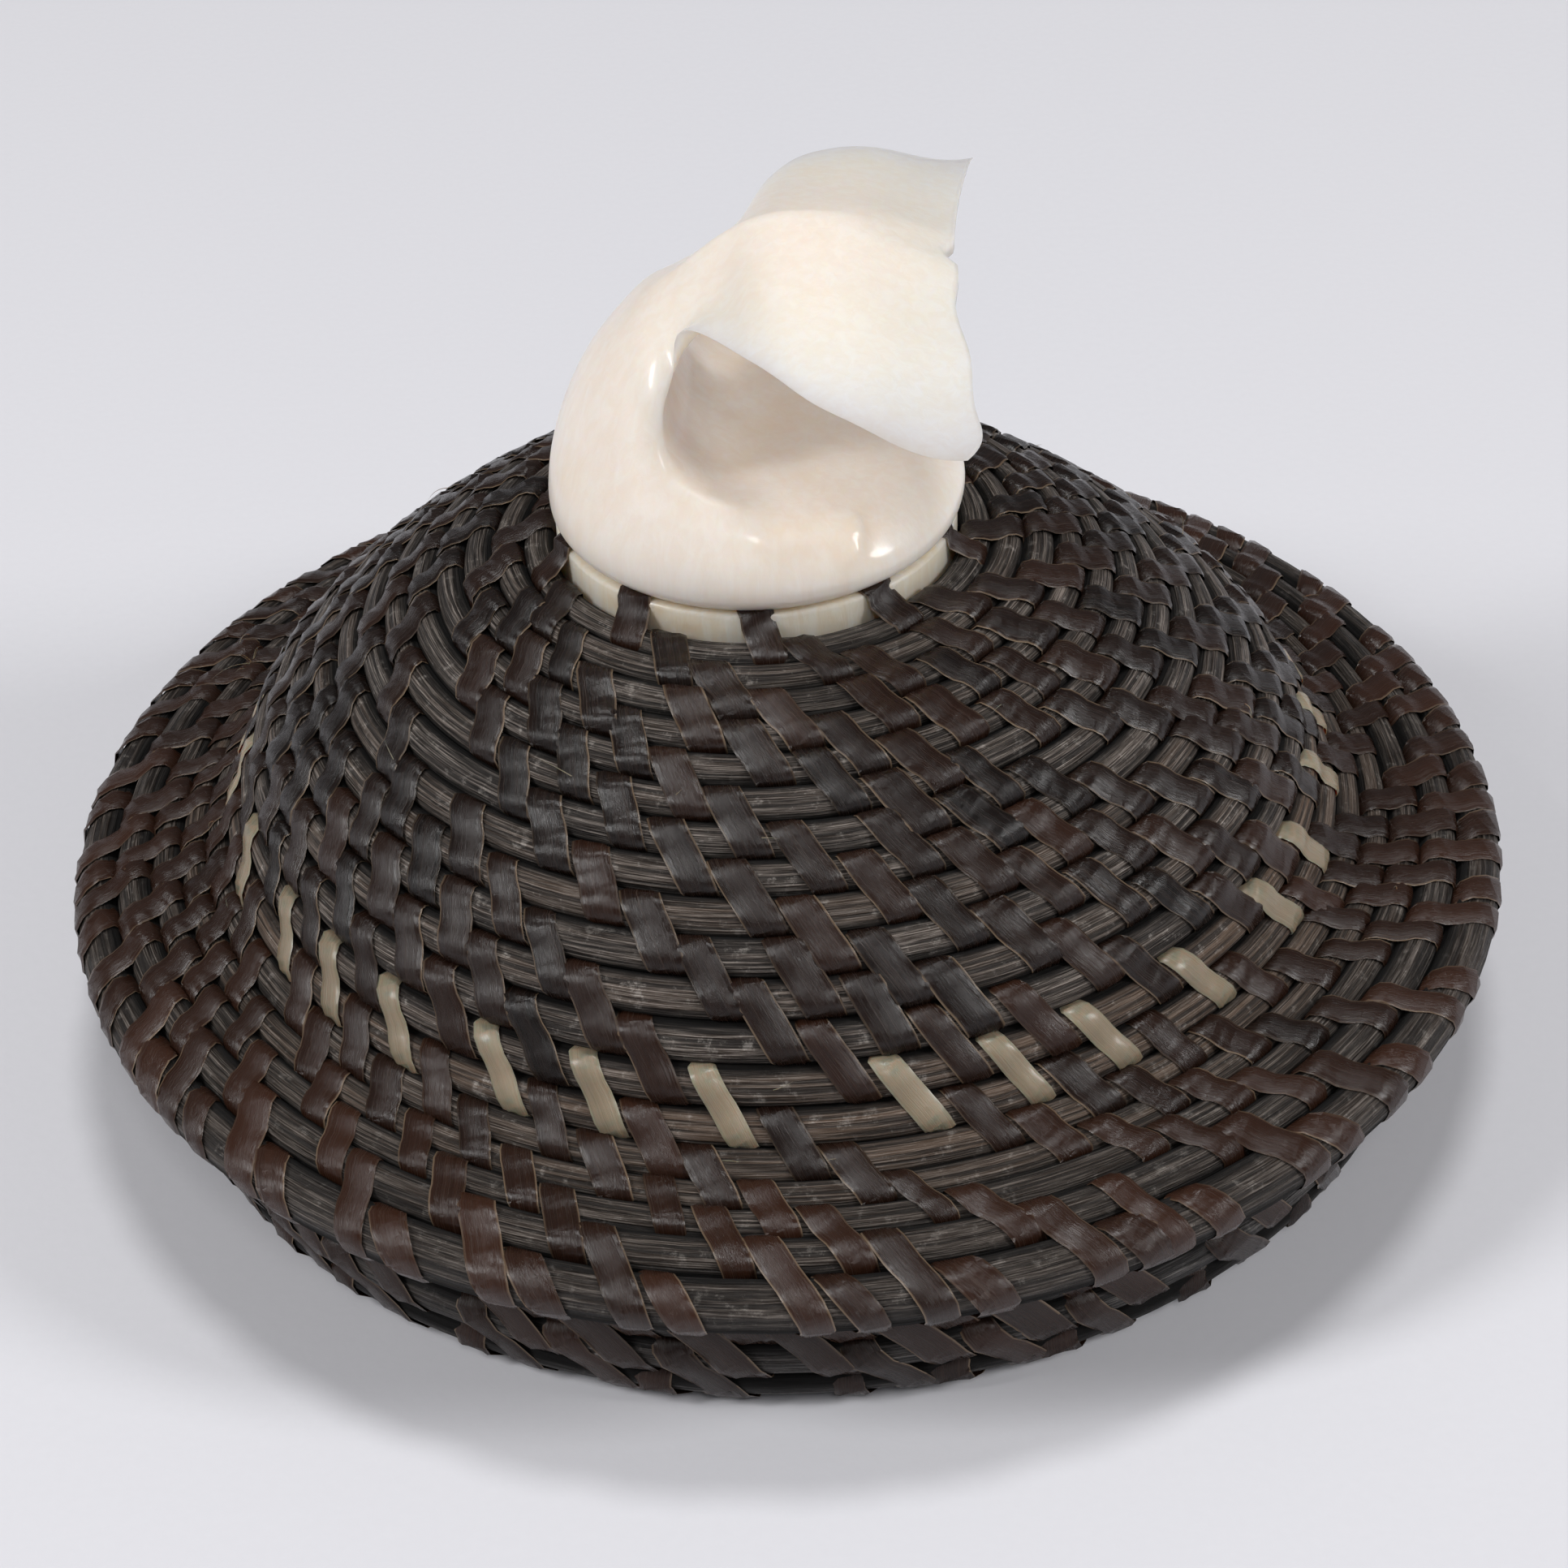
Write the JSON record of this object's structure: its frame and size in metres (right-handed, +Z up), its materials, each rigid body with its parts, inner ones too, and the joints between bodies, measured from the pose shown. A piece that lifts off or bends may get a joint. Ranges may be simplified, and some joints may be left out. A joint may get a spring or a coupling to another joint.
{
  "type": "baleen basket",
  "caption": "Small round coiled basket with a hat-shaped lid, ivory starting discs and a carved whale-tail finial as the lid's grip.",
  "frame": {"origin": "on the table, under the middle of the base; the lid's brim sets the box round it", "axes": "+Z up; front towards -Y; the flukes of the finial point to +X and their tips lie along Y"},
  "size_m": [0.1264, 0.1264, 0.077],
  "materials": {
    "baleen": "grey-black fibrous rod of split baleen, dull, with dusty streaks along the grain",
    "dark_splint": "flat baleen splints, near black to dark brown, glossy with fine lengthwise grain",
    "pale_splint": "pale, slightly translucent baleen splints of one decorative row",
    "ivory": "carved and polished ivory, creamy white with faint yellow mottling",
    "worn_ivory": "plain ivory, warmer and a little duller, with faint growth lines"
  },
  "bodies": {
    "basket": {"base_disc": "worn_ivory", "body_coil": "baleen"},
    "lid": {"lid_coil": "baleen", "lid_collar": "baleen", "lid_disc": "worn_ivory", "whale_tail_finial": "ivory", "finial_peg": "worn_ivory"}
  },
  "joints": [
    {"name": "lid_lift", "type": "slide", "parent": "basket", "child": "lid", "axis": [0, 0, 1], "range_m": [0, 0.06]}
  ]
}
